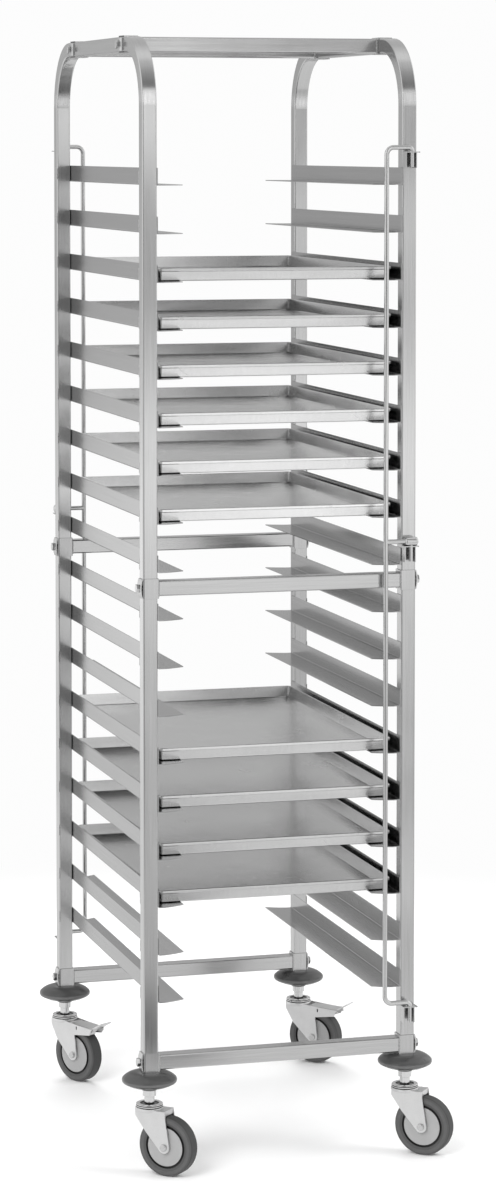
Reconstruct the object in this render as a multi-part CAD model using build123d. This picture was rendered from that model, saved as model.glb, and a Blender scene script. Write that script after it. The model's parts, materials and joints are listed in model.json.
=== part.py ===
from build123d import *
from math import acos, atan2, cos, degrees, hypot, radians, sin
import os

# Tray trolley: two bent-tube hoops bolted to six crossbars, eighteen pairs of tray runners, ten trays,
# two lock bars and four swivel castors.
# The origin is on the floor under the middle of the rack. X runs across to the right, Y to the back, Z up.
# Everything is in millimetres.

# Overall frame, measured over the outer faces of the posts
rack_width = 474.0
rack_depth = 654.0
rack_height = 1895.0

# Square tube of the hoops and the crossbars
tube_size = 25.0
tube_wall = 1.2
tube_inner_corner = 1.3
hoop_bend_radius = 102.5

# Crossbars and the folded saddles on their ends
top_bar_setback = 147.5
saddle_sheet = 2.0
saddle_width = 33.0
saddle_leg = 24.0
saddle_bend = 2.0

# Bolts through the hoops into the crossbar ends
bolt_radius = 4.0
bolt_clearance = 0.3
bolt_head_flats = 13.0
bolt_head_height = 5.0
bolt_tip = 3.0
head_chamfer = 0.8
nut_height = 6.5
thread_clearance = 0.05
plate_height = 32.0
plate_width = 22.0
plate_sheet = 2.0
plate_bow = 2.5

# Tray runners
runner_levels = 18
runner_pitch = 80.0
lowest_runner = 118.0
runner_sheet = 1.5
runner_web = 29.0
runner_flange = 47.5
runner_bend = 1.5
runner_inset = 1.0
runner_rear_inset = 10.5
end_cut_start = 12.0
end_cut_depth = 14.5
end_cut_sag = 1.6

# Trays
tray_length = 600.0
tray_width = 407.0
tray_height = 21.0
tray_sheet = 1.2
tray_draft = 3.0
tray_corner = 7.1
tray_floor_bend = 2.5
rim_width = 3.6
rim_height = 5.5
rim_rounding = 1.7
tray_seat_gap = 0.3
loaded_levels = (3, 4, 5, 6, 7, 8, 13, 14, 15, 16)

# Lock bars and their brackets
lock_rod_radius = 4.0
lock_rod_bend = 12.0
lock_pin_bend = 6.5
lock_reach = 44.5
lock_standoff = 13.0
lock_arm_rise = 7.0
lock_pin_depth = 26.0
lock_pin_clearance = 0.1
knob_radius = 7.5
knob_length = 24.0
knob_rounding = 5.0
knob_socket = 8.0
knob_seat_gap = 0.3
bracket_sheet = 1.5
bracket_height = 27.0
bracket_channel = 19.5
bracket_reach = 18.0
top_bracket = 1703.0
middle_bracket = 1041.0
bottom_bracket = 256.5

# Castor wheel
wheel_radius = 50.0
tyre_width = 25.0
tyre_bead_width = 22.0
tyre_shoulder = 5.0
tyre_bore = 36.0
tyre_fit = 0.05
hub_face_radius = 32.7
hub_face_width = 22.8
hub_rim_width = 16.0
hub_boss_radius = 9.0
hub_side_gap = 0.3
castor_trail = 36.0

# Castor axle
axle_radius = 4.0
axle_sleeve_radius = 6.0
axle_head_radius = 6.0
axle_head_height = 3.5
axle_nut_flats = 11.0
axle_nut_height = 5.0
running_clearance = 0.05

# Castor fork, from the axle up
fork_sheet = 2.5
fork_inner_width = 29.0
fork_end_radius = 10.0
fork_top = 110.0
fork_front = 18.0
fork_front_drop = 10.0
fork_front_waist = (1.0, 74.0)
fork_rear_lip = 8.5
fork_rear = 37.0
cup_radius = 23.8
cup_bottom = 107.0
cup_top = 112.3
brake_front_waist = (-3.0, 74.0)
brake_arm_top = (48.0, 107.0)
brake_arm_end = (86.0, 104.5)
brake_arm_tip = (80.0, 93.0)
brake_arm_corner = (42.0, 88.0)
fork_slot = (47.0, 101.5)
fork_slot_width = 2.5
fork_slot_height = 6.0
edge_rounding = 1.2

# Castor head, balls, stem and bumper
swivel_gap = 1.2
head_radius = 22.5
head_top = 118.0
head_recess_radius = 16.0
head_recess_depth = 2.0
head_groove_height = 1.0
head_groove_depth = 1.0
head_flange = 1.6
ball_radius = 2.2
ball_clearance = 0.05
ball_circle_radius = 17.0
balls_per_castor = 12
kingpin_radius = 6.0
rivet_radius = 9.0
rivet_height = 5.0
rivet_gap = 0.3
collar_radius = 11.1
collar_foot_radius = 8.5
collar_foot_height = 11.5
collar_cone_height = 1.0
collar_top = 140.5
bumper_radius = 46.2
bumper_waist = 157.5
bumper_rim_height = 8.0
bumper_rim_inset = 1.6
bumper_top_radius = 21.0
bumper_neck_radius = 13.0
bumper_neck_height = 4.0
post_bottom = 171.0
plug_height = 40.0
plug_clearance = 0.2
plug_corner = 1.0
stem_entry = 9.0

# Brake pedal, in the castor's own plane: distance behind the kingpin, height above the floor
pedal_pivot = (70.0, 100.0)
pedal_pin_radius = 3.0
pedal_boss_radius = 5.0
pedal_sheet = 2.5
pedal_side_gap = 0.4
pedal_front = (29.0, 105.4)
pedal_bend = (84.0, 103.2)
pedal_tip = (106.0, 115.5)
pedal_lip = (88.0, 99.0)
pedal_nose_reach = 10.5
pedal_nose_radius = 3.0
pedal_nose_width = 14.0

# Which way each castor trails, in degrees from straight right towards the front
castor_turns = {
    "front_left": 43.5,
    "front_right": 40.6,
    "rear_left": 58.6,
    "rear_right": 41.8,
}
braked_castors = ("rear_left", "rear_right")

# Places that follow from the sizes above
half_tube = tube_size / 2
inner_face = rack_width / 2 - tube_size
post_x = rack_width / 2 - half_tube
post_y = rack_depth / 2 - half_tube
top_run = rack_height - half_tube
top_bar_y = rack_depth / 2 - top_bar_setback
lower_bar = post_bottom + saddle_width / 2
castor_places = {
    "front_left": (-post_x, -post_y),
    "front_right": (post_x, -post_y),
    "rear_left": (-post_x, post_y),
    "rear_right": (post_x, post_y),
}


def runner_top(level):
    return post_bottom + lowest_runner + (runner_levels - level) * runner_pitch


# The middle crossbars sit halfway between the runners on either side of them
middle_level = runner_levels // 2
middle_bar = (runner_top(middle_level) + runner_top(middle_level + 1) - 2 * runner_sheet + runner_web) / 2

# Every crossbar, as its distance from the middle and its height: the top ones hang on the hoops' top runs
crossbars = {
    "top_front_crossbar": (-top_bar_y, top_run),
    "top_rear_crossbar": (top_bar_y, top_run),
    "middle_front_crossbar": (-post_y, middle_bar),
    "middle_rear_crossbar": (post_y, middle_bar),
    "lower_front_crossbar": (-post_y, lower_bar),
    "lower_rear_crossbar": (post_y, lower_bar),
}


def block(x0, x1, y0, y1, z0, z1):
    centre = Pos((x0 + x1) / 2, (y0 + y1) / 2, (z0 + z1) / 2)
    return centre * Box(x1 - x0, y1 - y0, z1 - z0)


def rod_x(x0, x1, radius, y=0.0, z=0.0):
    return Pos((x0 + x1) / 2, y, z) * Rot(0, 90, 0) * Cylinder(radius, x1 - x0)


def rod_y(y0, y1, radius, x=0.0, z=0.0):
    return Pos(x, (y0 + y1) / 2, z) * Rot(90, 0, 0) * Cylinder(radius, y1 - y0)


def rod_z(z0, z1, radius, x=0.0, y=0.0):
    return Pos(x, y, (z0 + z1) / 2) * Cylinder(radius, z1 - z0)


def hexagon_x(x0, x1, flats):
    outline = RegularPolygon(flats / 2, 6, major_radius=False)
    return extrude(Plane((x0, 0, 0), x_dir=(0, 1, 0), z_dir=(1, 0, 0)) * outline, x1 - x0)


def turned(outline):
    """A solid of revolution about Z from an outline of (radius, height) points."""
    face = make_face(Polyline(*[(r, 0, z) for r, z in outline], close=True))
    return revolve(face, Axis.Z)


def side_plate(outline, y0, y1):
    """A plate standing in the XZ plane, from y0 to y1."""
    face = make_face(Polyline(*[(x, y0, z) for x, z in outline], close=True))
    return extrude(face, amount=y1 - y0, dir=(0, 1, 0))


def tube_section():
    outer_corner = tube_inner_corner + tube_wall
    inside = tube_size - 2 * tube_wall
    outline = RectangleRounded(tube_size, tube_size, outer_corner)
    return outline - RectangleRounded(inside, inside, tube_inner_corner)


def make_hoop():
    path = FilletPolyline(
        (0, -post_y, post_bottom),
        (0, -post_y, top_run),
        (0, post_y, top_run),
        (0, post_y, post_bottom),
        radius=hoop_bend_radius,
    )
    hoop = sweep(Plane(path @ 0, z_dir=path % 0) * tube_section(), path)
    for y, z in crossbars.values():
        hoop -= rod_x(-tube_size, tube_size, bolt_radius + bolt_clearance, y, z)
    return hoop


def make_crossbar():
    half_length = inner_face - saddle_sheet
    start = Plane((-half_length, 0, 0), x_dir=(0, 1, 0), z_dir=(1, 0, 0))
    return extrude(start * tube_section(), 2 * half_length)


def at_crossbar_end(side, y, z):
    """The frame of one bolted joint: its X runs outwards along the bolt from the hoop's inner face."""
    place = Pos(side * inner_face, y, z)
    if side < 0:
        place = place * Rot(0, 0, 180)
    if abs(z - top_run) < tube_size:
        place = place * Rot(90, 0, 0)
    return place


def joint_places():
    return [at_crossbar_end(side, y, z) for y, z in crossbars.values() for side in (-1, 1)]


def make_saddle():
    reach = half_tube + saddle_sheet
    half_width = saddle_width / 2
    body = block(-saddle_sheet, saddle_leg, -reach, reach, -half_width, half_width)
    body -= block(0, saddle_leg, -half_tube, half_tube, -half_width, half_width)
    bends = body.edges().filter_by(Axis.Z).group_by(Axis.X)[0]
    body = fillet(bends, saddle_bend)
    return body - rod_x(-saddle_sheet, 0, bolt_radius + bolt_clearance)


def make_bolt_plate():
    half = plate_height / 2
    inner = ThreePointArc((0, 0, -half), (plate_bow, 0, 0), (0, 0, half))
    outer = ThreePointArc((plate_sheet, 0, -half), (plate_bow + plate_sheet, 0, 0), (plate_sheet, 0, half))
    ends = [Line(inner @ 0, outer @ 0), Line(inner @ 1, outer @ 1)]
    sheet = extrude(make_face([inner, outer] + ends), amount=plate_width / 2, dir=(0, 1, 0), both=True)
    sheet -= rod_x(0, plate_bow + plate_sheet, bolt_radius + bolt_clearance)
    return Pos(tube_size, 0, 0) * sheet


def make_frame_bolt():
    under_head = tube_size + plate_bow + plate_sheet
    shank = rod_x(-saddle_sheet - nut_height - bolt_tip, under_head, bolt_radius)
    head = hexagon_x(under_head, under_head + bolt_head_height, bolt_head_flats)
    head = chamfer(head.edges().group_by(Axis.X)[-1], head_chamfer)
    return shank + head


def make_weld_nut():
    nut = hexagon_x(-saddle_sheet - nut_height, -saddle_sheet, bolt_head_flats)
    return nut - rod_x(-saddle_sheet - nut_height, -saddle_sheet, bolt_radius + thread_clearance)


def make_left_runner():
    """An L of sheet: the web stands against the posts and the flange points into the rack."""
    outer_bend = runner_bend + runner_sheet
    front = -rack_depth / 2 + runner_inset
    back = rack_depth / 2 - runner_rear_inset
    angle = block(0, runner_flange, front, back + end_cut_depth, 0, runner_web)
    angle -= block(runner_sheet, runner_flange, front, back + end_cut_depth, runner_sheet, runner_web)
    heel = angle.edges().filter_by(Axis.Y).sort_by_distance((0, 0, 0))[0]
    angle = fillet(heel, outer_bend)
    throat = angle.edges().filter_by(Axis.Y).sort_by_distance((runner_sheet, 0, runner_sheet))[0]
    angle = fillet(throat, runner_bend)
    front_cut = runner_end_cut(front)
    back_cut = runner_end_cut(back)
    sides = [Line(front_cut @ 1, back_cut @ 1), Line(front_cut @ 0, back_cut @ 0)]
    plan = make_face([front_cut, back_cut] + sides)
    return Pos(-inner_face, 0, -runner_sheet) * (angle & extrude(plan, runner_web))


def runner_end_cut(y):
    """The outline of a runner's end: square at the web, then sweeping back to the flange's edge."""
    middle = ((end_cut_start + runner_flange) / 2, y + end_cut_depth / 2 - end_cut_sag)
    square = Line((0, y), (end_cut_start, y))
    sweep_back = ThreePointArc((end_cut_start, y), middle, (runner_flange, y + end_cut_depth))
    return Wire([square, sweep_back])


def tray_bowl(inset, corner, lift):
    """A block that narrows downwards, with rounded corners: the tray's outside or its inside."""
    top = RectangleRounded(tray_width - 2 * inset, tray_length - 2 * inset, corner)
    lean = degrees(atan2(tray_draft, tray_height))
    return extrude(Pos(0, 0, tray_height) * top, lift - tray_height, taper=lean)


def make_tray():
    """A tray with sloping walls and a rolled rim, its underside at zero height."""
    wall_corner = tray_corner - rim_width + tray_sheet
    wall_inset = rim_width - tray_sheet
    outside = tray_bowl(wall_inset, wall_corner, 0)
    outside = fillet(outside.faces().sort_by(Axis.Z)[0].edges(), tray_floor_bend)
    inside = tray_bowl(rim_width, wall_corner - tray_sheet, tray_sheet)
    inside = fillet(inside.faces().sort_by(Axis.Z)[0].edges(), tray_floor_bend - tray_sheet)
    mouth_width = tray_width - 2 * rim_width
    mouth_length = tray_length - 2 * rim_width
    rim = RectangleRounded(tray_width, tray_length, tray_corner)
    rim -= RectangleRounded(mouth_width, mouth_length, tray_corner - rim_width)
    rim = extrude(Pos(0, 0, tray_height - rim_height) * rim, rim_height)
    rim = fillet(rim.edges().group_by(Axis.Z)[-1] + rim.edges().group_by(Axis.Z)[0], rim_rounding)
    return outside - inside + (rim - inside)


def lock_frame(end):
    """The frame of a lock bar: Z on its pins. The rear bar is the front one turned half round."""
    place = Pos(post_x, -rack_depth / 2 - lock_standoff, 0)
    return place if end == "front" else Rot(0, 0, 180) * place


def make_lock_bar():
    bottom_arm = bottom_bracket + lock_arm_rise
    top_arm = top_bracket + lock_arm_rise
    path = FilletPolyline(
        (0, 0, bottom_bracket - lock_pin_depth),
        (0, 0, bottom_arm),
        (-lock_reach, 0, bottom_arm),
        (-lock_reach, 0, top_arm),
        (0, 0, top_arm),
        (0, 0, top_bracket - lock_pin_depth),
        radius=[lock_pin_bend, lock_rod_bend, lock_rod_bend, lock_pin_bend],
    )
    rod = sweep(Plane(path @ 0, z_dir=path % 0) * Circle(lock_rod_radius), path)
    strut_end = -knob_length / 2 + knob_socket
    return rod + rod_x(-lock_reach, strut_end, lock_rod_radius, 0, knob_height())


def knob_height():
    return middle_bracket + knob_seat_gap + knob_radius


def make_lock_knob():
    barrel = rod_x(-knob_length / 2, knob_length / 2, knob_radius)
    barrel = fillet(barrel.edges().filter_by(GeomType.CIRCLE), knob_rounding)
    socket_radius = lock_rod_radius + running_clearance
    pin = rod_z(-knob_radius - knob_seat_gap - lock_pin_depth, 0, lock_rod_radius)
    knob = barrel + pin - rod_x(-knob_length / 2, -knob_length / 2 + knob_socket, socket_radius)
    return Pos(0, 0, knob_height()) * knob


def make_lock_bracket():
    """A channel on the post's face under a wider top plate, whose hole holds the pin."""
    back = lock_standoff
    front = lock_standoff - bracket_reach
    left = -half_tube
    right = left + bracket_channel
    sheet = bracket_sheet
    body = block(left, right, front, back, -bracket_height, 0)
    body -= block(left + sheet, right - sheet, front, back - sheet, -bracket_height, 0)
    body += block(left, half_tube, front, back, -sheet, 0)
    return body - rod_z(-sheet, 0, lock_rod_radius + lock_pin_clearance)


def tangent_on_end(x, z, side):
    """Where a straight edge from (x, z) touches the rounded fork end about the axle."""
    run = hypot(x - castor_trail, z - wheel_radius)
    bearing = atan2(z - wheel_radius, x - castor_trail)
    swing = side * acos(fork_end_radius / run)
    angle = bearing + swing
    return (castor_trail + fork_end_radius * cos(angle), wheel_radius + fork_end_radius * sin(angle))


def fork_leg(braked, y0, y1):
    waist = brake_front_waist if braked else fork_front_waist
    front_touch = tangent_on_end(*waist, 1)
    rear_start = brake_arm_corner if braked else (fork_rear, fork_top)
    rear_touch = tangent_on_end(*rear_start, -1)
    shoulder = (-fork_front, fork_top - fork_front_drop)
    outline = [front_touch, waist, shoulder, (-fork_front, fork_top)]
    if braked:
        outline += [(fork_front, fork_top), brake_arm_top, brake_arm_end, brake_arm_tip]
    outline += [rear_start, rear_touch]
    bottom = (castor_trail, wheel_radius - fork_end_radius)
    edges = [Line((a[0], y0, a[1]), (b[0], y0, b[1])) for a, b in zip(outline, outline[1:])]
    edges.append(ThreePointArc(*[(p[0], y0, p[1]) for p in (rear_touch, bottom, front_touch)]))
    leg = extrude(make_face(edges), amount=y1 - y0, dir=(0, 1, 0))
    return leg - rod_y(y0, y1, axle_radius + running_clearance, castor_trail, wheel_radius)


def make_fork(braked):
    inner = fork_inner_width / 2
    outer = inner + fork_sheet
    fork = fork_leg(braked, inner, outer) + fork_leg(braked, -outer, -inner)
    crown_rear = fork_front if braked else fork_rear
    fork += block(-fork_front, crown_rear, -outer, outer, fork_top - fork_sheet, fork_top)
    if not braked:
        fork += block(fork_rear - fork_sheet, fork_rear, -outer, outer, fork_top - fork_rear_lip, fork_top)
    cup = rod_z(cup_bottom, cup_top, cup_radius)
    cup = fillet(cup.edges().filter_by(GeomType.CIRCLE), edge_rounding)
    fork += cup
    fork -= ball_groove()
    fork -= rod_z(cup_bottom - rivet_height, cup_top, kingpin_radius + running_clearance)
    if braked:
        fork -= rod_y(-outer, outer, pedal_pin_radius + running_clearance, *pedal_pivot)
        fork -= Pos(fork_slot[0], 0, fork_slot[1]) * Box(fork_slot_width, 2 * outer, fork_slot_height)
    return fork


def make_pedal_pin():
    outer = fork_inner_width / 2 + fork_sheet
    return rod_y(-outer, outer, pedal_pin_radius, *pedal_pivot)


def ball_height():
    return cup_top + swivel_gap / 2


def ball_groove():
    return Pos(0, 0, ball_height()) * Torus(ball_circle_radius, ball_radius + ball_clearance)


def make_balls():
    balls = []
    for index in range(balls_per_castor):
        turn = radians(360 * index / balls_per_castor)
        place = Pos(ball_circle_radius * cos(turn), ball_circle_radius * sin(turn), ball_height())
        balls.append(place * Sphere(ball_radius))
    return balls


def make_head():
    bottom = cup_top + swivel_gap
    head = rod_z(bottom, head_top, head_radius)
    head = fillet(head.edges().filter_by(GeomType.CIRCLE).group_by(Axis.Z)[-1], edge_rounding)
    recess = rod_z(head_top - head_recess_depth, head_top, head_recess_radius)
    recess -= rod_z(head_top - head_recess_depth, head_top, collar_foot_radius)
    head -= recess
    groove_top = head_top - head_flange
    groove = rod_z(groove_top - head_groove_height, groove_top, head_radius)
    groove -= rod_z(groove_top - head_groove_height, groove_top, head_radius - head_groove_depth)
    head -= groove
    head -= ball_groove()
    return head - rod_z(bottom, head_top, kingpin_radius + running_clearance)


def make_stem():
    rivet_top = cup_bottom - rivet_gap
    return turned([
        (0, rivet_top - rivet_height),
        (rivet_radius, rivet_top - rivet_height),
        (rivet_radius, rivet_top),
        (kingpin_radius, rivet_top),
        (kingpin_radius, head_top),
        (collar_foot_radius, head_top),
        (collar_foot_radius, head_top + collar_foot_height),
        (collar_radius, head_top + collar_foot_height + collar_cone_height),
        (collar_radius, collar_top),
        (kingpin_radius, collar_top),
        (kingpin_radius, post_bottom + stem_entry),
        (0, post_bottom + stem_entry),
    ])


def make_plug():
    """The square plug in the end of the post: the stem screws into it and the lowest bolt crosses it."""
    width = tube_size - 2 * tube_wall - 2 * plug_clearance
    plug = extrude(Pos(0, 0, post_bottom) * RectangleRounded(width, width, plug_corner), plug_height)
    plug -= rod_z(post_bottom, post_bottom + stem_entry, kingpin_radius + thread_clearance)
    return plug - rod_x(-tube_size, tube_size, bolt_radius + bolt_clearance, 0, lower_bar)


def make_bumper():
    """A lens-shaped disc with a rounded rim, a conical underside and a short neck on the collar."""
    rim_top = bumper_waist + bumper_rim_height / 2
    rim_bottom = bumper_waist - bumper_rim_height / 2
    neck_top = collar_top + bumper_neck_height
    bore = kingpin_radius + running_clearance
    shoulder = bumper_radius - bumper_rim_inset
    crown = TangentArc((bumper_top_radius, 0, post_bottom), (shoulder, 0, rim_top), tangent=(1, 0, 0))
    rim = ThreePointArc(crown @ 1, (bumper_radius, 0, bumper_waist), (shoulder, 0, rim_bottom))
    belly = TangentArc((bumper_neck_radius, 0, neck_top), rim @ 1, tangent=(1, 0, 0))
    foot = Polyline(
        (bumper_neck_radius, 0, neck_top),
        (bumper_neck_radius, 0, collar_top),
        (bore, 0, collar_top),
        (bore, 0, post_bottom),
        crown @ 0,
    )
    return revolve(make_face([crown, rim, belly, foot]), Axis.Z)


def at_axle(outline):
    """A wheel piece turned from (radius, offset) points about the axle."""
    return Pos(castor_trail, 0, wheel_radius) * Rot(90, 0, 0) * turned(outline)


def make_hub():
    bore = axle_sleeve_radius + running_clearance
    boss = fork_inner_width / 2 - hub_side_gap
    face = hub_face_width / 2
    rim = hub_rim_width / 2
    half = [(bore, boss), (hub_boss_radius, boss), (hub_boss_radius, face), (hub_face_radius, face),
            (hub_face_radius, rim), (tyre_bore, rim)]
    return at_axle(half + [(r, -v) for r, v in reversed(half)])


def make_tyre():
    bead = tyre_bead_width / 2
    side = tyre_width / 2
    bore = tyre_bore + tyre_fit
    half = [(bore, bead), (wheel_radius - 2 * tyre_shoulder, side), (wheel_radius, side)]
    tyre = at_axle(half + [(r, -v) for r, v in reversed(half)])
    tread_edges = tyre.edges().filter_by(GeomType.CIRCLE).group_by(SortBy.RADIUS)[-1]
    return fillet(tread_edges, tyre_shoulder)


def make_axle():
    """The axle bolt, the sleeve that keeps the fork legs apart, and the nut."""
    inner = fork_inner_width / 2
    outer = inner + fork_sheet
    bolt = rod_x(-outer - axle_nut_height, outer, axle_radius)
    head = rod_x(outer, outer + axle_head_height, axle_head_radius)
    head = fillet(head.edges().filter_by(GeomType.CIRCLE).group_by(Axis.X)[-1], axle_head_height / 2)
    sleeve = rod_x(-inner, inner, axle_sleeve_radius)
    sleeve -= rod_x(-inner, inner, axle_radius + thread_clearance)
    nut = hexagon_x(-outer - axle_nut_height, -outer, axle_nut_flats)
    nut -= rod_x(-outer - axle_nut_height, -outer, axle_radius + thread_clearance)
    place = Pos(castor_trail, 0, wheel_radius) * Rot(0, 0, -90)
    return [place * piece for piece in (bolt + head, sleeve, nut)]


def make_pedal():
    """A bent tread plate with two side flanges and a nose that comes down on the tyre."""
    half = fork_inner_width / 2 - pedal_side_gap
    underside = [pedal_front, pedal_bend, pedal_tip]
    pedal = side_plate(underside + [(x, z + pedal_sheet) for x, z in reversed(underside)], -half, half)
    pivot_x, pivot_z = pedal_pivot
    boss_bottom = pivot_z - pedal_boss_radius
    flange = [
        pedal_front,
        (pivot_x - pedal_boss_radius, boss_bottom),
        (pivot_x + pedal_boss_radius, boss_bottom),
        pedal_lip,
        pedal_bend,
    ]
    pedal += side_plate(flange, half - pedal_sheet, half) + side_plate(flange, -half, pedal_sheet - half)
    pedal += rod_y(-half, half, pedal_boss_radius, pivot_x, pivot_z)
    nose = pedal_nose_radius
    nose_z = pivot_z - pedal_nose_reach + nose
    half_nose = pedal_nose_width / 2
    pedal += block(pivot_x - nose, pivot_x + nose, -half_nose, half_nose, nose_z, pivot_z)
    pedal += rod_y(-half_nose, half_nose, nose, pivot_x, nose_z)
    return pedal - rod_y(-half, half, pedal_pin_radius + running_clearance, pivot_x, pivot_z)


def at_castor(name, upright=False):
    """A castor's own frame, with X along its trail; what is fixed to the post isn't turned."""
    x, y = castor_places[name]
    place = Pos(x, y, 0)
    return place if upright else place * Rot(0, 0, -castor_turns[name])


def write_node(name, pieces):
    pieces = pieces if isinstance(pieces, list) else [pieces]
    solids = [solid for piece in pieces for solid in piece.solids()]
    shape = solids[0] if len(solids) == 1 else Compound(children=solids)
    export_step(shape, "parts/" + name + ".step")


def write_frame():
    hoop = make_hoop()
    write_node("left_hoop", Pos(-post_x, 0, 0) * hoop)
    write_node("right_hoop", Pos(post_x, 0, 0) * hoop)
    crossbar = make_crossbar()
    for name, (y, z) in crossbars.items():
        write_node(name, Pos(0, y, z) * crossbar)
    grouped = {
        "crossbar_saddles": make_saddle(),
        "frame_bolts": make_frame_bolt(),
        "bolt_plates": make_bolt_plate(),
        "weld_nuts": make_weld_nut(),
    }
    for name, piece in grouped.items():
        write_node(name, [place * piece for place in joint_places()])
    left_runner = make_left_runner()
    right_runner = mirror(left_runner, Plane.YZ)
    heights = [Pos(0, 0, runner_top(level)) for level in range(1, runner_levels + 1)]
    write_node("left_runners", [height * left_runner for height in heights])
    write_node("right_runners", [height * right_runner for height in heights])


def write_trays():
    tray = make_tray()
    for level in loaded_levels:
        write_node("tray_level_%02d" % level, Pos(0, 0, runner_top(level) + tray_seat_gap) * tray)


def write_lock_bars():
    bar = make_lock_bar()
    knob = make_lock_knob()
    bracket = make_lock_bracket()
    brackets = []
    for end in ("front", "rear"):
        place = lock_frame(end)
        write_node(end + "_lock_bar", place * bar)
        write_node(end + "_lock_knob", place * knob)
        for height in (top_bracket, middle_bracket, bottom_bracket):
            brackets.append(place * Pos(0, 0, height) * bracket)
    write_node("lock_bar_brackets", brackets)


def write_castors():
    fixed_pieces = {"bumper": [make_bumper()], "stem": [make_stem(), make_plug()], "head": [make_head()]}
    wheel_pieces = {"axle": make_axle(), "hub": [make_hub()], "tyre": [make_tyre()]}
    plain_fork = {"fork": [make_fork(False)]}
    braked_fork = {"fork": [make_fork(True), make_pedal_pin()], "brake_pedal": [make_pedal()]}
    balls = []
    for name in castor_places:
        fixed = at_castor(name, upright=True)
        swivel = at_castor(name)
        balls += [fixed * ball for ball in make_balls()]
        for piece, solids in fixed_pieces.items():
            write_node(name + "_" + piece, [fixed * solid for solid in solids])
        fork_pieces = braked_fork if name in braked_castors else plain_fork
        for piece, solids in {**fork_pieces, **wheel_pieces}.items():
            write_node(name + "_" + piece, [swivel * solid for solid in solids])
    write_node("swivel_balls", balls)


os.makedirs("parts", exist_ok=True)
write_frame()
write_trays()
write_lock_bars()
write_castors()
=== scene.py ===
import json
import math

import bpy
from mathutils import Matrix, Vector


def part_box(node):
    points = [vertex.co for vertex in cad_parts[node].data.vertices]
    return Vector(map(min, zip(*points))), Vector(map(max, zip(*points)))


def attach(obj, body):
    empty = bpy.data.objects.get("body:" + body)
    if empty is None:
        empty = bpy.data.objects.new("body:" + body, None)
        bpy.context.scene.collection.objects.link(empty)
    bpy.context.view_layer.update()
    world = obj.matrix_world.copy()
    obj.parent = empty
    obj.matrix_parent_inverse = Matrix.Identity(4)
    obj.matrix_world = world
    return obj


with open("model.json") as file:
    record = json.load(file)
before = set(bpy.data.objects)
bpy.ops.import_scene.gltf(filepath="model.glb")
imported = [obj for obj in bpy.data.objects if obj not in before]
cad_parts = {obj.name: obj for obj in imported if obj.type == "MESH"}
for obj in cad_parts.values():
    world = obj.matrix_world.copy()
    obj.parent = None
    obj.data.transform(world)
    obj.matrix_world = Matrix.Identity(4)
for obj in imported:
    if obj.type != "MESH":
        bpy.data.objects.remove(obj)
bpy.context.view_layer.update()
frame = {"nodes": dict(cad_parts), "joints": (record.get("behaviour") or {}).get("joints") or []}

# Tray trolley in brushed stainless steel: finishes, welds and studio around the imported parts.
# Everything is in metres, in the parts' own frame: the origin is on the floor under the rack's middle.

nodes = frame["nodes"]

# Camera, from the photograph's perspective
image_height_px = 1200
focal_length_px = 3528.34
principal_row_px = 357.87
sensor_mm = 36
camera_place = (-1.6596, -5.9426, 1.7184)
camera_pitch = 0.061
camera_yaw = 0.278

# Tube of the hoops, read from the left one
hoop_low, hoop_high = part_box("left_hoop")
half_tube = (hoop_high.x - hoop_low.x) / 2
post_x = hoop_high.x - half_tube
post_y = hoop_high.y - half_tube
inner_face = post_x - half_tube
hoop_bend_radius = 0.1025
bend_start = hoop_high.z - half_tube - hoop_bend_radius

# Runners: the web against the posts, the flange beside it, and the fold between the two
runner_low, runner_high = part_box("left_runners")
runner_web = 0.029
runner_levels = 18
runner_pitch = (runner_high.z - runner_low.z - runner_web) / (runner_levels - 1)
web_depth = 0.0022
flange_start = 0.0042
fold_height = (0.0014, 0.0034)
fold_depth = (0.001, 0.005)

# Trays, and the top and bottom one of each loaded block
tray_names = sorted(name for name in nodes if name.startswith("tray_level"))
tray_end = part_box(tray_names[0])[1].y
loaded_blocks = (("tray_level_03", "tray_level_08"), ("tray_level_13", "tray_level_16"))
back_wall_depth = 0.0067

# How bright the trays' metal is painted, by height: duller low down and at the top, as painted light and
# shade
tray_light_by_height = (
    (0.46, 0.68), (0.70, 0.82), (1.10, 0.97), (1.26, 0.92), (1.34, 0.85), (1.42, 0.77), (1.50, 0.68),
)

# Saddles and castors; the seam round a castor's head is at a share of its height
saddle_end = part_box("crossbar_saddles")[1].x
castor_names = ("front_left", "front_right", "rear_left", "rear_right")
wheel_axles = {joint["name"][:-5]: joint for joint in frame["joints"] if joint["name"].endswith("_roll")}
wheel_radius = 0.050
hub_face_radius = 0.0327
head_seam_share = 0.52
half_seam = 0.0006

# Welds
weld_radius = 0.0010
weld_unevenness = 0.18
crossbar_weld_spacing = 0.0011
runner_weld_spacing = 0.0015
runner_weld_start = 0.005
runner_weld = 0.018

# Brushed steel: fine streaks, broader ones and handling smudges, with their sizes across and along
fine_streak = (0.0011, 0.060)
broad_streak = (0.0045, 0.240)
smudge_size = 0.085
streak_depth = 0.000012
# How far the painted shade of crevices reaches
crevice_reach = 0.005


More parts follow.
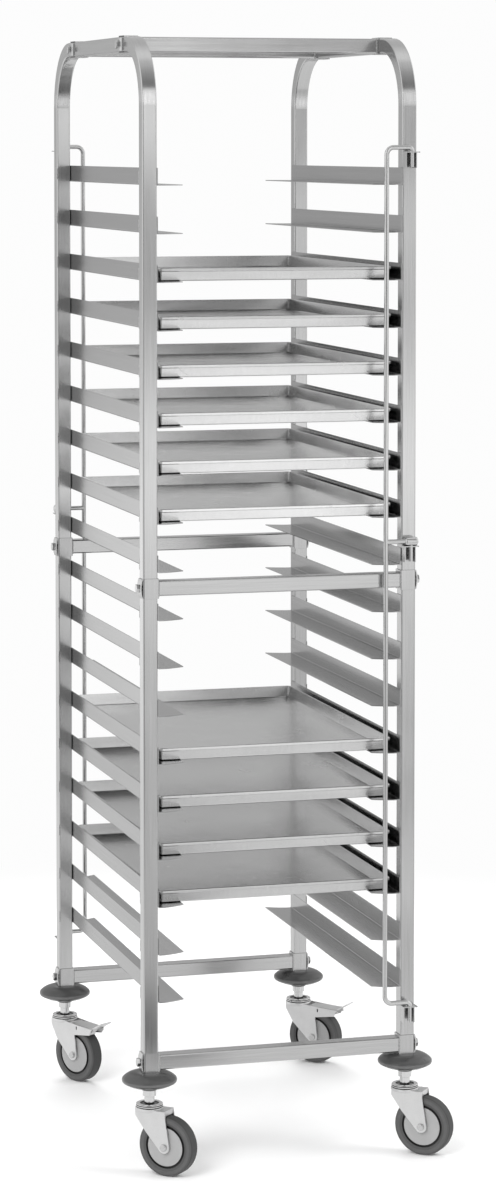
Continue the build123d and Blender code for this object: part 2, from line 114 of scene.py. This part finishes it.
class Field:
    """One output of a shader node. Arithmetic on fields and numbers adds the Math nodes for it."""

    def __init__(self, finish, socket):
        self.finish = finish
        self.socket = socket

    def __getitem__(self, name):
        return Field(self.finish, self.socket.node.outputs[name])

    def math(self, operation, *values):
        return self.finish.node("Math", {"operation": operation}, dict(enumerate(values)))

    def __neg__(self):
        return self.math("MULTIPLY", self, -1)

    def __add__(self, other):
        return self.math("ADD", self, other)

    def __sub__(self, other):
        return self.math("SUBTRACT", self, other)

    def __rsub__(self, other):
        return self.math("SUBTRACT", other, self)

    def __mul__(self, other):
        return self.math("MULTIPLY", self, other)

    def __truediv__(self, other):
        return self.math("DIVIDE", self, other)

    def __pow__(self, other):
        return self.math("POWER", self, other)

    def __mod__(self, other):
        return self.math("MODULO", self, other)

    def __abs__(self):
        return self.math("ABSOLUTE", self)

    def above(self, other):
        """The larger of the two."""
        return self.math("MAXIMUM", self, other)

    def below(self, other):
        """The smaller of the two."""
        return self.math("MINIMUM", self, other)

    __radd__ = __add__
    __rmul__ = __mul__


class Finish:
    """A material or a world under construction. node() adds any node; the rest are common uses of it."""

    def __init__(self, name, kind=bpy.data.materials):
        self.owner = kind.new(name)
        self.owner.use_nodes = True
        self.tree = self.owner.node_tree
        self.tree.nodes.clear()

    def node(self, kind, settings=None, inputs=None, output=0):
        """Adds a shader node: its settings first, then the values or links of its sockets."""
        made = self.tree.nodes.new("ShaderNode" + kind)
        for name, value in (settings or {}).items():
            if name == "stops":
                set_stops(made.color_ramp, value)
            else:
                setattr(made, name, value)
        for name, value in (inputs or {}).items():
            if isinstance(value, Field):
                self.tree.links.new(value.socket, made.inputs[name])
            else:
                made.inputs[name].default_value = value
        return Field(self, made.outputs[output]) if made.outputs else None

    def coordinates(self, kind):
        """The x, y and z of one kind of texture coordinate."""
        x = self.node("SeparateXYZ", inputs={0: self.node("TexCoord", output=kind)}, output="X")
        return x, x["Y"], x["Z"]

    def place(self):
        """The point on the surface."""
        return self.coordinates("Object")

    def facing(self):
        """The way the surface faces."""
        return self.coordinates("Normal")

    def noise(self, x, y, z, detail=2.0):
        point = self.node("CombineXYZ", inputs={0: x, 1: y, 2: z})
        return self.node("TexNoise", inputs={"Vector": point, "Scale": 1.0, "Detail": detail})

    def cloud(self, size, detail=2.0):
        """Noise that is as long as it is wide and high."""
        x, y, z = self.place()
        return self.noise(x / size, y / size, z / size, detail)

    def step(self, value, low, high):
        """Rises smoothly from 0 at low to 1 at high, which may be the smaller of the two."""
        ends = {"Value": value, "From Min": low, "From Max": high}
        return self.node("MapRange", {"interpolation_type": "SMOOTHSTEP"}, ends)

    def band(self, value, low, high, edge):
        """1 between low and high, 0 outside, with soft edges."""
        return self.step(value, low - edge, low) * self.step(value, high + edge, high)

    def strip(self, value, bands, brightest=1.0):
        """Greys along value, out of the brightest one."""
        low, high = bands[0][0], bands[-1][0]
        stops = [((place - low) / (high - low), tone / brightest) for place, tone in bands]
        return self.node("ValToRGB", {"stops": stops}, {0: (value - low) / (high - low)})

    def bump(self, height, distance, normal=None):
        sockets = {"Height": height, "Distance": distance, "Strength": 1.0}
        if normal:
            sockets["Normal"] = normal
        return self.node("Bump", inputs=sockets)

    def open_sky(self, reach):
        """How open the surface is within reach: near 0 deep in a gap, 1 in the clear."""
        return self.node("AmbientOcclusion", {"samples": 6}, {"Distance": reach}, "AO")

    def radius(self, castor):
        """Distance from a wheel's axle."""
        axle = wheel_axles[castor]
        centre = tuple(axle["pos_m"])
        line = tuple(axle["axis"])
        point = self.node("TexCoord", output="Object")
        arm = self.node("VectorMath", {"operation": "SUBTRACT"}, {0: point, 1: centre})
        sideways = self.node("VectorMath", {"operation": "DOT_PRODUCT"}, {0: arm, 1: line}, "Value")
        length = self.node("VectorMath", {"operation": "LENGTH"}, {0: arm}, "Value")
        return (length ** 2 - sideways ** 2) ** 0.5

    def seen_directly(self):
        """1 for what the camera sees straight, in a reflection or through glass."""
        rays = self.node("LightPath", output="Is Camera Ray")
        return (rays + rays["Is Glossy Ray"] + rays["Is Transmission Ray"]).below(1)

    def surface(self, **sockets):
        """Ends the material in a Principled surface, with spaces in the sockets' names as underscores."""
        inputs = {name.replace("_", " "): value for name, value in sockets.items()}
        shader = self.node("BsdfPrincipled", inputs=inputs)
        self.node("OutputMaterial", inputs={"Surface": shader})
        return self.owner

    def metal(self, colour, gloss, normal):
        return self.surface(Base_Color=colour, Metallic=1.0, Roughness=gloss, Normal=normal)

    def moulded(self, tone, roughness, grain, depth, mottle, dust_size, dustiness, **sockets):
        """Ends the material as plastic or rubber with a grained, mottled and slightly dusty skin."""
        skin = self.cloud(grain, 3.0)
        dust = self.cloud(dust_size, 4.0)
        colour = tone * (1 + mottle * (skin - 0.5) + dustiness * (dust - 0.5))
        gloss = roughness + 0.16 * (dust - 0.5)
        return self.surface(Base_Color=colour, Roughness=gloss, Normal=self.bump(skin, depth), **sockets)


def set_stops(ramp, stops):
    """Fills a colour ramp from (position, grey) pairs."""
    while len(ramp.elements) > 1:
        ramp.elements.remove(ramp.elements[-1])
    for index, (position, tone) in enumerate(stops):
        element = ramp.elements[0] if index == 0 else ramp.elements.new(position)
        element.position = position
        element.color = grey(tone)


def grey(value):
    return (value, value, value, 1)


def brushed(finish, across, along, side, tone, roughness):
    """The colour, roughness and bump of steel that is brushed along one direction, with painted shade in its
    crevices.
    """
    fine = finish.noise(across / fine_streak[0], along / fine_streak[1], side / fine_streak[0])
    broad = finish.noise(across / broad_streak[0], along / broad_streak[1], side / broad_streak[0])
    smudge = finish.noise(across / smudge_size, along / smudge_size, side / smudge_size, 3.0)
    colour = tone * (1 + 0.16 * (fine - 0.5) + 0.14 * (broad - 0.5) + 0.06 * (smudge - 0.5))
    # Painted shade: the colour darkens where the surface is closed in by nearby parts.
    colour = colour * (0.3 + 0.7 * finish.step(finish.open_sky(crevice_reach), 0.1, 0.75))
    gloss = roughness + 0.10 * (smudge - 0.5) + 0.08 * (broad - 0.5)
    return colour, gloss, finish.bump(fine, streak_depth)


def hoop_steel():
    """The brushing follows the bent tube; a dull scuffed band, lightened as a painted highlight, marks where
    each bend starts.
    """
    finish = Finish("brushed_tube_steel")
    x, y, z = finish.place()
    beyond_y = (abs(y) - (post_y - hoop_bend_radius)).above(0)
    beyond_z = (z - bend_start).above(0)
    across = (beyond_y ** 2 + beyond_z ** 2) ** 0.5
    colour, gloss, normal = brushed(finish, across, z - abs(y), x, 0.60, 0.17)
    scuff_and_highlight = finish.band(z, bend_start + 0.010, bend_start + 0.018, 0.013)
    scuff_and_highlight = scuff_and_highlight * finish.step(beyond_y, 0.05, 0.07)
    scratch = finish.noise(x / 0.0016, across / 0.0016, z / 0.02, 3.0)
    # Painted highlight: the scuffed band at the bend's start is lightened in colour.
    colour = colour * (1 - 0.2 * scuff_and_highlight) + 0.50 * scuff_and_highlight * scratch
    return finish.metal(colour, gloss + 0.12 * scuff_and_highlight, normal)


def bar_steel():
    """The crossbars are brushed along their length."""
    finish = Finish("brushed_crossbar_steel")
    x, y, z = finish.place()
    return finish.metal(*brushed(finish, y, x, z, 0.60, 0.17))


def runner_steel():
    """Brushed runner steel: painted shade makes the flanges' ends past the trays almost black, darkens narrow
    gaps and dulls the right webs; a painted highlight runs along the fold.
    """
    finish = Finish("brushed_runner_steel")
    x, y, z = finish.place()
    colour, gloss, normal = brushed(finish, x / 2, y / 3, z / 2, 0.58, 0.20)
    web = finish.step(abs(x), inner_face - flange_start, inner_face - web_depth)
    flange = finish.step(abs(x), inner_face - web_depth, inner_face - flange_start)
    loaded = 0
    for top, bottom in loaded_blocks:
        low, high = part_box(bottom)[0].z - 0.004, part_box(top)[0].z + 0.001
        loaded = finish.band(z, low, high, 0.002) + loaded
    tip = finish.step(abs(y), tray_end - 0.002, tray_end + 0.001)
    # Painted shade: the flanges' ends in front of the trays are made almost black.
    colour = colour * (1 - 0.97 * loaded * flange * tip)
    # Painted highlight: the fold between web and flange is lightened.
    rise = (z - runner_low.z) % runner_pitch
    fold = finish.band(rise, *fold_height, 0.0008)
    fold = fold * finish.band(abs(x), inner_face - fold_depth[1], inner_face - fold_depth[0], 0.001)
    # Painted shade dulls the right webs' inner faces.
    right_web = finish.step(x, inner_face - web_depth, inner_face - 0.0016)
    colour = colour * (1 - 0.20 * right_web) + 0.22 * fold
    left_web = finish.step(x, 0, -0.001) * web
    # Painted shade: narrow gaps are darkened, except on the left webs.
    clear = finish.step(finish.open_sky(0.016), 0.10, 0.55).above(left_web)
    return finish.metal(colour * (0.10 + 0.90 * clear), gloss, normal)


def sheet_steel():
    """Folded sheet with painted shade along its outer edges and along the seam where its plate meets the
    crossbar.
    """
    finish = Finish("pressed_sheet_steel")
    x, y, z = finish.place()
    colour, gloss, normal = brushed(finish, x, z, y, 0.60, 0.22)
    outer_edge = finish.step(abs(x), saddle_end - 0.0012, saddle_end - 0.0004)
    seam = finish.step(abs(x), inner_face - 0.0004, inner_face - 0.0010)
    saddle = finish.step(abs(x), saddle_end + 0.0010, saddle_end + 0.0002)
    # Painted shade along the outer edges and the seam.
    return finish.metal(colour * (1 - 0.70 * (outer_edge + seam) * saddle), gloss, normal)


def polished_steel(name, tone, roughness):
    """Bright drawn or turned steel, with faint drawing marks and fingerprints."""
    finish = Finish(name)
    x, y, z = finish.place()
    marks = finish.noise(x / 0.0009, y / 0.0009, z / 0.030)
    prints = finish.noise(x / 0.020, y / 0.020, z / 0.035, 4.0)
    colour = tone * (1 + 0.12 * (marks - 0.5) + 0.08 * (prints - 0.5))
    return finish.metal(colour, roughness + 0.10 * (prints - 0.5), finish.bump(marks, 0.000006))


def zinc_plate():
    """Passivated zinc on the pressed castor parts: bright, slightly cloudy and finely pitted, with painted
    shade in its crevices.
    """
    finish = Finish("zinc_plated_steel")
    cloud = finish.cloud(0.018, 4.0)
    pits = finish.cloud(0.0016)
    colour = 0.80 * (1 + 0.16 * (cloud - 0.5) + 0.10 * (pits - 0.5))
    # Painted shade in crevices.
    colour = colour * (0.25 + 0.75 * finish.step(finish.open_sky(0.006), 0.1, 0.8))
    return finish.metal(colour, 0.34 + 0.16 * (cloud - 0.5), finish.bump(pits, 0.00002))


def turned_zinc(castor):
    """The turned castor parts: glossy, with painted shade along the seam round the head between its two rings
    and in their crevices.
    """
    finish = Finish("turned_zinc_" + castor)
    x, y, z = finish.place()
    turned = finish.noise(z / 0.0005, 0.0, 0.0)
    cloud = finish.cloud(0.010, 3.0)
    low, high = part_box(castor + "_head")
    seam = low.z + head_seam_share * (high.z - low.z)
    colour = 0.78 * (1 + 0.12 * (cloud - 0.5) + 0.20 * (turned - 0.5))
    # Painted shade along the seam round the head.
    colour = colour * (1 - 0.85 * finish.band(z, seam - half_seam, seam + half_seam, 0.0004))
    # Painted shade in crevices.
    colour = colour * (0.12 + 0.88 * finish.step(finish.open_sky(0.008), 0.15, 0.8))
    return finish.metal(colour, 0.13 + 0.08 * (cloud - 0.5), finish.bump(turned, 0.00002))


def tray_metal():
    """Rolled aluminium sheet: satin, faintly streaked, gently dished and scratched, with painted light and
    shade by height and painted shade in its crevices and on the back wall.
    """
    finish = Finish("rolled_tray_aluminium")
    x, y, z = finish.place()
    rolled = finish.noise(x / 0.0025, y / 0.120, z / 0.010)
    cloud = finish.cloud(0.070, 3.0)
    wave = finish.noise(x / 0.160, y / 0.220, z / 0.030, 1.0)
    first = finish.noise(x / 0.0011 + y / 0.012, y / 0.045, z / 0.020)
    second = finish.noise(y / 0.0013 - x / 0.010, x / 0.060, z / 0.020)
    scratches = finish.step(first, 0.70, 0.78) + finish.step(second, 0.70, 0.78)
    # Painted light and shade: the trays' brightness goes by height.
    tone = finish.strip(z, tray_light_by_height)
    colour = tone * (1 + 0.10 * (rolled - 0.5) + 0.12 * (cloud - 0.5)) - 0.05 * scratches
    # Painted shade in crevices.
    colour = colour * (0.12 + 0.88 * finish.step(finish.open_sky(crevice_reach), 0.15, 0.62))
    wall_start = tray_end - back_wall_depth
    facing_front = -finish.facing()[1]
    back_wall = finish.step(y, wall_start - 0.0005, wall_start + 0.0005) * finish.step(facing_front, 0.3, 0.6)
    # Painted shade on the back wall's front face, deeper towards the right.
    colour = colour * (1 - 0.42 * back_wall * finish.step(x, -0.25, 0.20))
    gloss = 0.24 + 0.14 * (cloud - 0.5) + 0.05 * scratches
    return finish.metal(colour, gloss, finish.bump(rolled, 0.00001, finish.bump(wave, 0.0012)))


def bumper_plastic():
    """Dark grey moulded plastic with a satin shine and a painted highlight, paler on the faces that look
    sideways or a little down.
    """
    finish = Finish("bumper_plastic")
    sideways_highlight = finish.band(finish.facing()[2], -0.45, 0.05, 0.30)
    # Painted highlight on the faces that look sideways or a little down.
    return finish.moulded(0.052 + 0.055 * sideways_highlight, roughness=0.30, grain=0.0011, depth=0.00002, mottle=0.12,
                          dust_size=0.016, dustiness=0.40, Coat_Weight=0.25)


def hub_plastic(castor):
    """Smooth grey wheel centre; its rim, sunk beside the tyre, is painted almost black as shade."""
    finish = Finish("hub_plastic_" + castor)
    rim = finish.step(finish.radius(castor), hub_face_radius - 0.0006, hub_face_radius)
    # Painted shade: the sunk rim is made almost black.
    return finish.moulded(0.36 * (1 - 0.96 * rim), roughness=0.42, grain=0.0014, depth=0.00001, mottle=0.05,
                          dust_size=0.016, dustiness=0.16)


def tyre_rubber(castor):
    """Grey rubber, paler on the shoulders and darker on the tread, with painted shade on its lip beside the
    hub's sunk rim.
    """
    finish = Finish("tyre_rubber_" + castor)
    radius = finish.radius(castor)
    lip = finish.step(radius, hub_face_radius + 0.0042, hub_face_radius + 0.0034)
    shoulder = finish.band(radius, wheel_radius - 0.0085, wheel_radius - 0.0045, 0.0015)
    tread = finish.step(radius, wheel_radius - 0.0016, wheel_radius - 0.0004)
    # Painted shade on the lip beside the hub.
    tone = 0.072 + 0.022 * shoulder - 0.030 * tread - 0.055 * lip
    return finish.moulded(tone, roughness=0.55, grain=0.0009, depth=0.00003, mottle=0.12,
                          dust_size=0.012, dustiness=0.30)


def weld_metal():
    """Weld metal left as laid: bright, rippled and slightly heat tinted."""
    finish = Finish("weld_metal")
    ripple = finish.cloud(0.0007)
    tint = finish.cloud(0.006)
    colour = 0.62 * (1 + 0.30 * (ripple - 0.5) + 0.35 * (tint - 0.5))
    return finish.metal(colour, 0.30 + 0.2 * (tint - 0.5), finish.bump(ripple, 0.00006))


def wear(names, material):
    """Gives CAD nodes their finish."""
    for name in names:
        mesh = nodes[name].data
        mesh.materials.clear()
        mesh.materials.append(material)


def finish_parts():
    wear(("left_hoop", "right_hoop"), hoop_steel())
    wear([name for name in nodes if name.endswith("crossbar")], bar_steel())
    wear(("left_runners", "right_runners"), runner_steel())
    wear(("crossbar_saddles", "lock_bar_brackets"), sheet_steel())
    bright = polished_steel("bright_fastener_steel", 0.66, 0.22)
    wear(("frame_bolts", "bolt_plates", "weld_nuts", "swivel_balls"), bright)
    rod = polished_steel("polished_rod_steel", 0.68, 0.16)
    wear(("front_lock_bar", "rear_lock_bar", "front_lock_knob", "rear_lock_knob"), rod)
    wear(tray_names, tray_metal())
    zinc = zinc_plate()
    bumper = bumper_plastic()
    for castor in castor_names:
        wear([castor + "_fork"], zinc)
        wear([castor + "_stem", castor + "_head"], turned_zinc(castor))
        wear([castor + "_axle"], bright)
        wear([castor + "_bumper"], bumper)
        wear([castor + "_hub"], hub_plastic(castor))
        wear([castor + "_tyre"], tyre_rubber(castor))
    wear([name for name in nodes if name.endswith("brake_pedal")], zinc)


class Growth:
    """A Geometry Nodes tree under construction. node() adds any node and returns its output sockets."""

    def __init__(self, name, inputs):
        self.tree = bpy.data.node_groups.new(name, "GeometryNodeTree")
        sockets = self.tree.interface
        sockets.new_socket("Geometry", in_out="OUTPUT", socket_type="NodeSocketGeometry")
        self.names = {}
        for label, kind in {"Geometry": "Geometry", **inputs}.items():
            socket = sockets.new_socket(label, in_out="INPUT", socket_type="NodeSocket" + kind)
            self.names[label] = socket.identifier
        self.start = self.tree.nodes.new("NodeGroupInput").outputs

    def node(self, kind, settings=None, inputs=None):
        made = self.tree.nodes.new(kind)
        for name, value in (settings or {}).items():
            setattr(made, name, value)
        for name, value in (inputs or {}).items():
            if isinstance(value, bpy.types.NodeSocket):
                self.tree.links.new(value, made.inputs[name])
            else:
                made.inputs[name].default_value = value
        return made.outputs

    def math(self, operation, first, second):
        return self.node("ShaderNodeMath", {"operation": operation}, {0: first, 1: second})[0]

    def end(self, geometry):
        """Makes the instances real, gives them their material and closes the tree."""
        real = self.node("GeometryNodeRealizeInstances", inputs={"Geometry": geometry})[0]
        dressing = {"Geometry": real, "Material": self.start["Material"]}
        done = self.node("GeometryNodeSetMaterial", inputs=dressing)[0]
        self.node("NodeGroupOutput", inputs={"Geometry": done})
        return self


def weld_growth():
    """Overlapping drops of weld metal along every line, each turned to the line and a little uneven."""
    tree = Growth("weld_beads", {"Spacing": "Float", "Bead Radius": "Float", "Unevenness": "Float",
                                 "Seed": "Int", "Material": "Material"})
    start = tree.start
    lines = tree.node("GeometryNodeMeshToCurve", inputs={"Mesh": start["Geometry"]})[0]
    spacing = {"Curve": lines, "Length": start["Spacing"]}
    spaced = tree.node("GeometryNodeResampleCurve", {"mode": "LENGTH"}, spacing)[0]
    along = tree.node("GeometryNodeInputTangent")[0]
    turn = tree.node("FunctionNodeAlignRotationToVector", {"axis": "Z"}, {"Vector": along})[0]
    least = tree.math("SUBTRACT", 1.0, start["Unevenness"])
    most = tree.math("ADD", 1.0, start["Unevenness"])
    limits = {"Min": least, "Max": most, "Seed": start["Seed"]}
    chance = tree.node("FunctionNodeRandomValue", inputs=limits)
    share = [socket for socket in chance if socket.type == "VALUE" and socket.enabled][0]
    size = tree.math("MULTIPLY", share, start["Bead Radius"])
    drop = tree.node("GeometryNodeMeshIcoSphere", inputs={"Radius": 1.0, "Subdivisions": 2})[0]
    smooth = tree.node("GeometryNodeSetShadeSmooth", inputs={"Geometry": drop})[0]
    placing = {"Points": spaced, "Instance": smooth, "Rotation": turn, "Scale": size}
    return tree.end(tree.node("GeometryNodeInstanceOnPoints", inputs=placing)[0])


def line_object(name, lines):
    """A mesh of loose edges along polylines."""
    edges = []
    first = 0
    for line in lines:
        edges += [(first + index, first + index + 1) for index in range(len(line) - 1)]
        first += len(line)
    mesh = bpy.data.meshes.new(name)
    mesh.from_pydata([point for line in lines for point in line], edges, [])
    made = bpy.data.objects.new(name, mesh)
    bpy.context.collection.objects.link(made)
    return made


def grow(name, body, lines, tree, values):
    """Runs a tree on a set of polylines and keeps the result as a plain mesh that rides on a body."""
    source = line_object(name + "_lines", lines)
    modifier = source.modifiers.new("growth", "NODES")
    modifier.node_group = tree.tree
    for label, value in values.items():
        modifier[tree.names[label]] = value
    bpy.context.view_layer.update()
    evaluated = source.evaluated_get(bpy.context.evaluated_depsgraph_get())
    made = bpy.data.objects.new(name, bpy.data.meshes.new_from_object(evaluated))
    source.modifiers.remove(modifier)
    bpy.data.objects.remove(source)
    bpy.context.collection.objects.link(made)
    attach(made, body)


def crossbar_weld_lines():
    """Each crossbar is welded round three sides to the saddle on its end."""
    lines = []
    for name in sorted(nodes):
        if name.endswith("crossbar"):
            low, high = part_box(name)
            top = high.z - 2 * weld_radius
            for x in (low.x + weld_radius / 3, high.x - weld_radius / 3):
                lines.append([(x, low.y, top), (x, low.y, low.z), (x, high.y, low.z), (x, high.y, top)])
    return lines


def runner_weld_lines():
    """Each runner's web is welded up the inner edge of both posts."""
    lines = []
    for level in range(runner_levels):
        low = runner_low.z + level * runner_pitch + runner_weld_start
        for x in (-inner_face - weld_radius / 2, inner_face + weld_radius / 2):
            for y in (-post_y + half_tube, post_y - half_tube):
                lines.append([(x, y, low), (x, y, low + runner_weld)])
    return lines


def build_welds():
    tree = weld_growth()
    shared = {"Bead Radius": weld_radius, "Unevenness": weld_unevenness, "Material": weld_metal()}
    close = {**shared, "Spacing": crossbar_weld_spacing, "Seed": 7}
    grow("crossbar_welds", "frame", crossbar_weld_lines(), tree, close)
    wide = {**shared, "Spacing": runner_weld_spacing, "Seed": 11}
    grow("runner_welds", "frame", runner_weld_lines(), tree, wide)


def place_camera():
    lens = bpy.data.cameras.new("photo_camera")
    lens.sensor_width = sensor_mm
    lens.lens = sensor_mm * focal_length_px / image_height_px
    lens.shift_y = principal_row_px / image_height_px - 0.5
    camera = bpy.data.objects.new("photo_camera", lens)
    camera.location = camera_place
    camera.rotation_euler = (math.pi / 2 - camera_pitch, 0, -camera_yaw)
    bpy.context.collection.objects.link(camera)
    bpy.context.scene.camera = camera


# Studio: a pale floor, a white room and soft lamps. Steel shows what stands round it, so glowing grey cards
# that only reflections see stand about, painted reflections in the place of the flags and the gaps between a
# studio's soft boxes.
white = 0.98
room_light = 0.80
floor_size = 40.0
shadow_floor = (1.1, 2.2)
card_brightest = 1.6
card_left = -2.4
card_right = 3.2
card_distance = 3.0
front_card_height = 3.36
back_card_height = 3.0
eye_height = 1.8

# The overhead arch bends round the line at eye height over the front posts, this far from it
arch_radius = 2.7 / math.sin(math.radians(60))
arch_steps = 24

# Lamps: where they stand, how wide they are and their share of the power
lamp_power = 110.0
lamp_target = Vector((0, 0, 0.8))
lamps = {
    "left_softbox": ((-2.8, -3.0, 3.2), 2.4, 1.0),
    "right_softbox": ((3.2, -1.8, 2.8), 2.2, 0.6),
    "back_softbox": ((0.4, 3.4, 3.4), 2.6, 0.7),
}

# Greys that the front card shows to the left posts and to the right ones, by height in metres
left_bands = (
    (0.0, 0.64), (0.19, 0.55), (0.29, 0.57), (0.38, 0.64), (0.48, 0.76), (0.58, 0.88), (0.78, 1.10),
    (0.88, 1.22), (0.97, 1.27), (1.07, 1.08), (1.17, 0.82), (1.26, 0.66), (1.36, 0.52), (1.46, 0.44),
    (1.56, 0.48), (1.65, 0.72), (1.70, 1.05), (1.75, 1.45), (1.83, 1.60), (1.89, 0.80), (1.94, 0.36),
    (2.00, 0.40), (2.08, 1.40), (2.80, 1.50), (3.05, 1.10), (3.25, 0.50), (3.36, 0.32),
)
right_bands = (
    (0.0, 0.52), (0.15, 0.48), (0.36, 0.70), (0.56, 0.80), (0.76, 1.10), (0.96, 1.32), (1.06, 1.05),
    (1.16, 0.90), (1.36, 0.62), (1.45, 0.78), (1.55, 1.35), (1.64, 0.55), (1.79, 0.42), (1.84, 0.80),
    (1.90, 0.55), (1.96, 0.40), (2.02, 0.46), (2.12, 0.85), (2.80, 0.95), (3.05, 0.80), (3.25, 0.42),
    (3.36, 0.30),
)

# Greys overhead, by elevation in degrees from the front round to the back
arch_bands = (
    (30, 0.28), (39, 0.27), (46, 0.35), (54, 0.42), (62, 0.51), (70, 0.65), (79, 0.70), (88, 0.94),
    (98, 0.92), (110, 0.78), (123, 0.63), (158, 0.60),
)

# Greys behind, by height on the left, and one plain grey on the right
back_left_bands = (
    (0.0, 0.90), (0.20, 1.00), (0.43, 1.12), (0.62, 1.20), (0.90, 1.00), (1.12, 0.75), (1.33, 0.62),
    (1.55, 0.58), (3.0, 0.60),
)
back_right_grey = 0.50

# A painted patch of light low on the front card and on the floor before it, between these two places across
pool = (0.62, 0.96)
pool_light = 0.45


def stage_object(name, corners, faces, material):
    """A sheet of the studio, which is no piece of the trolley."""
    mesh = bpy.data.meshes.new(name)
    mesh.from_pydata(corners, [], faces)
    mesh.materials.append(material)
    made = bpy.data.objects.new(name, mesh)
    bpy.context.collection.objects.link(made)
    return made


def build_floor():
    """Plain pale matt floor near the trolley, where it takes the shadow, and plain white beyond; reflections
    see a glowing grey with painted shade and a painted patch of light.
    """
    finish = Finish("pale_floor")
    x, y, z = finish.place()
    far = finish.step((x ** 2 + y ** 2) ** 0.5, *shadow_floor)
    foreground = finish.step(-y, 1.30, 1.55)
    spot = finish.band(x, -0.35, 0.06, 0.08) * finish.band(-y, 1.10, 1.45, 0.15)
    under = finish.band(x, -0.2, 0.2, 0.15) * finish.band(y, -0.25, 0.25, 0.15)
    lit = finish.band(x, *pool, 0.14) * finish.step(-y, 1.9, 2.4)
    # Painted reflection: greys that only reflections see, with painted shade in front, in a dark spot and
    # under the trolley, and a painted patch of light.
    tone = 0.85 - 0.21 * foreground - 0.70 * spot - 0.20 * under + pool_light * lit
    mirrored = finish.node("Emission", inputs={"Color": tone, "Strength": 1.0})
    matt = finish.node("BsdfDiffuse", inputs={"Color": grey(0.95)})
    plain = finish.node("Emission", inputs={"Color": grey(white), "Strength": 1.0})
    surface = finish.node("MixShader", inputs={0: far * finish.seen_directly(), 1: matt, 2: plain})
    glossy = finish.node("LightPath", output="Is Glossy Ray")
    surface = finish.node("MixShader", inputs={0: glossy, 1: surface, 2: mirrored})
    finish.node("OutputMaterial", inputs={"Surface": surface})
    half = floor_size / 2
    corners = [(-half, -half, 0), (half, -half, 0), (half, half, 0), (-half, half, 0)]
    stage_object("floor", corners, [(0, 1, 2, 3)], finish.owner)


def build_room():
    """A room that lights softly and is plain white where it is seen."""
    finish = Finish("white_room", bpy.data.worlds)
    light = finish.node("Background", inputs={"Color": grey(1.0), "Strength": room_light})
    seen = finish.node("Background", inputs={"Color": grey(white), "Strength": 1.0})
    surface = finish.node("MixShader", inputs={0: finish.seen_directly(), 1: light, 2: seen})
    finish.node("OutputWorld", inputs={"Surface": surface})
    bpy.context.scene.world = finish.owner


def card(name, finish, tone, rows):
    """A glowing sheet from left to right through rows of (y, z), which only reflections see."""
    light = finish.node("Emission", inputs={"Color": tone, "Strength": card_brightest})
    finish.node("OutputMaterial", inputs={"Surface": light})
    corners = [(side, y, z) for y, z in rows for side in (card_left, card_right)]
    faces = [(2 * row, 2 * row + 1, 2 * row + 3, 2 * row + 2) for row in range(len(rows) - 1)]
    made = stage_object(name, corners, faces, finish.owner)
    made.visible_camera = False
    made.visible_diffuse = False
    made.visible_shadow = False
    made.visible_transmission = False


def build_front_card():
    finish = Finish("front_card")
    x, y, z = finish.place()
    on_left = finish.strip(z, left_bands, card_brightest)
    on_right = finish.strip(z, right_bands, card_brightest)
    across = finish.step(x, 0.6, 1.0)
    # Painted reflection: greys by height, darker towards the left.
    tone = (on_left * (1 - across) + on_right * across) * (0.40 + 0.60 * finish.step(x, -0.35, 0.15))
    # Painted patch of light low on the card.
    lit = finish.band(x, *pool, 0.14) * finish.step(z, 0.60, 0.35)
    tone = tone + pool_light / card_brightest * lit
    card("front_card", finish, tone, [(-card_distance, 0), (-card_distance, front_card_height)])


def build_back_card():
    finish = Finish("back_card")
    x, y, z = finish.place()
    on_left = finish.strip(z, back_left_bands, card_brightest)
    across = finish.step(x, -1.0, -0.68)
    tone = on_left * (1 - across) + back_right_grey / card_brightest * across
    card("back_card", finish, tone, [(card_distance, 0), (card_distance, back_card_height)])


def build_overhead_arch():
    """A card bent from the front over to the back. Its greys go by elevation from its centre line."""
    finish = Finish("overhead_arch")
    x, y, z = finish.place()
    height = z - eye_height
    elevation = height.math("ARCTAN2", height, -(y + post_y)) * (180 / math.pi)
    tone = finish.strip(elevation, arch_bands, card_brightest)
    first, last = arch_bands[0][0], arch_bands[-1][0]
    rows = []
    for step in range(arch_steps + 1):
        angle = math.radians(first + (last - first) * step / arch_steps)
        rows.append((-post_y - arch_radius * math.cos(angle), eye_height + arch_radius * math.sin(angle)))
    card("overhead_arch", finish, tone, rows)


def build_lamps():
    """Large soft lamps that light matt surfaces; reflections leave them out."""
    for name, (place, size, share) in lamps.items():
        lamp = bpy.data.lights.new(name, "AREA")
        lamp.shape = "DISK"
        lamp.size = size
        lamp.energy = lamp_power * share
        made = bpy.data.objects.new(name, lamp)
        made.location = place
        made.rotation_euler = (lamp_target - Vector(place)).to_track_quat("-Z", "Y").to_euler()
        made.visible_glossy = False
        bpy.context.collection.objects.link(made)


finish_parts()
build_welds()
build_floor()
build_room()
build_front_card()
build_back_card()
build_overhead_arch()
build_lamps()
place_camera()
bpy.context.scene.view_settings.view_transform = "Standard"
